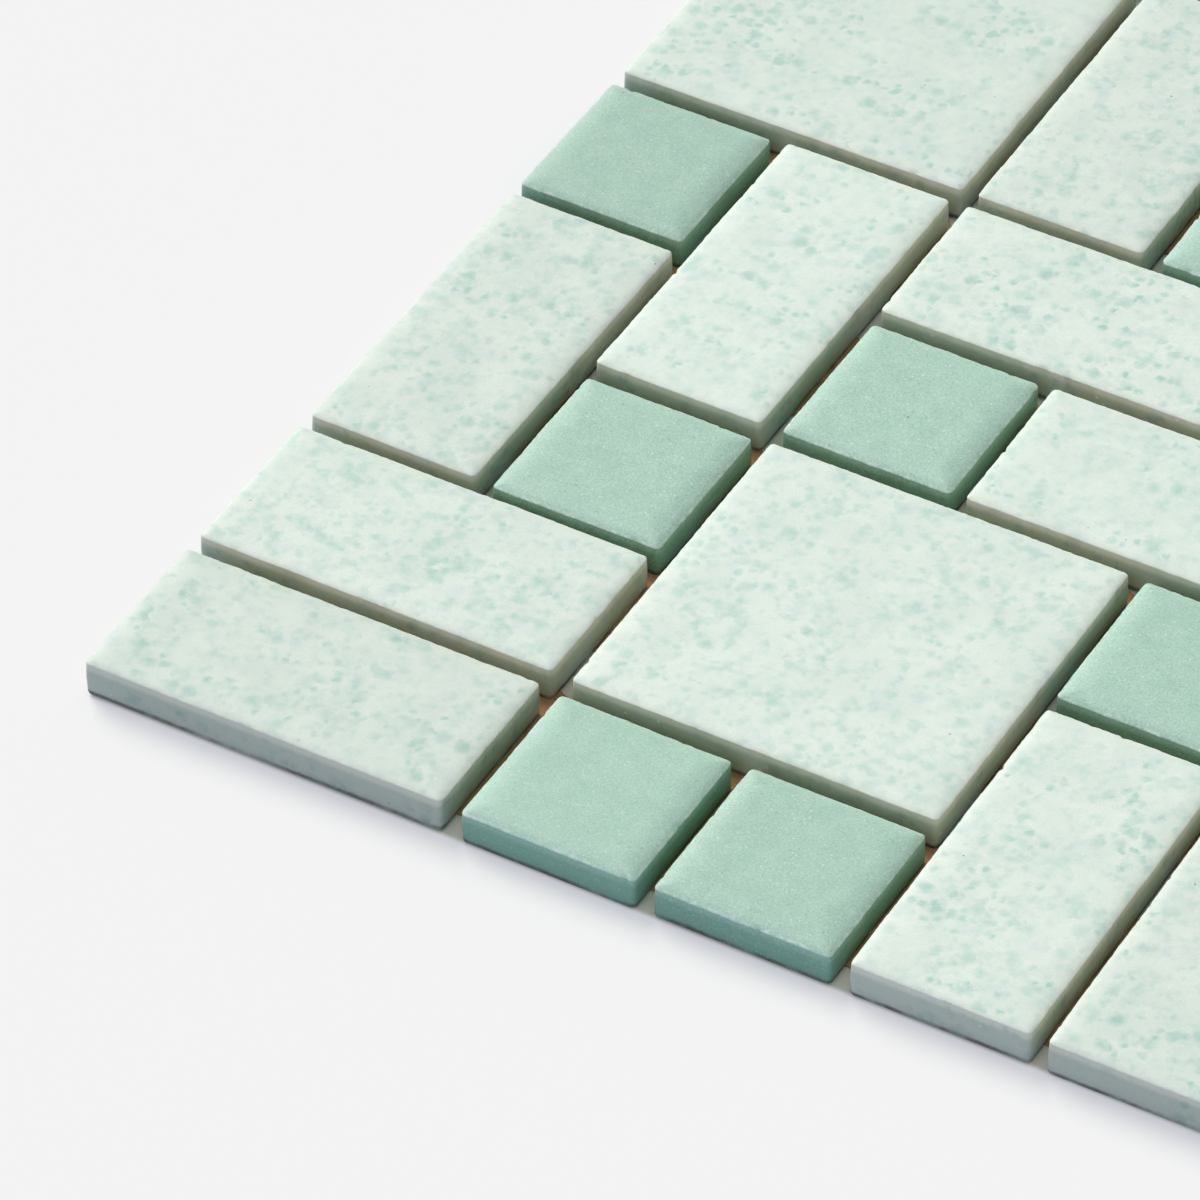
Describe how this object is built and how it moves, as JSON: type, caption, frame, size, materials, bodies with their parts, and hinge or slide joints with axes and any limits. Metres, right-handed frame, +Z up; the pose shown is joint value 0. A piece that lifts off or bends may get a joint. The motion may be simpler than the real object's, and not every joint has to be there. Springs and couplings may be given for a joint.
{
  "type": "mosaic floor tile sheet",
  "caption": "Square mosaic floor tile sheet: small pressed ceramic tiles, sage green and speckled pale, in a random block plan with open joints, on perforated kraft paper for bedding in mortar.",
  "frame": {"origin": "middle of the sheet's underside, on the level that the backing paper rests on", "axes": "+Z up through the wear faces, +X along the sheet's front edge, +Y from the front edge to the back edge"},
  "size_m": [0.2982, 0.2984, 0.0054],
  "materials": {
    "green_tile": "matte, unglazed, fine sandy grain",
    "pale_tile": "matte, unglazed, soft sea-green specks",
    "kraft_paper": "uncoated brown kraft paper"
  },
  "bodies": {
    "root": {"green_square_tiles": "green_tile", "pale_oblong_tiles_along_x": "pale_tile", "pale_oblong_tiles_along_y": "pale_tile", "pale_large_square_tiles": "pale_tile", "backing_paper": "kraft_paper"}
  },
  "joints": []
}
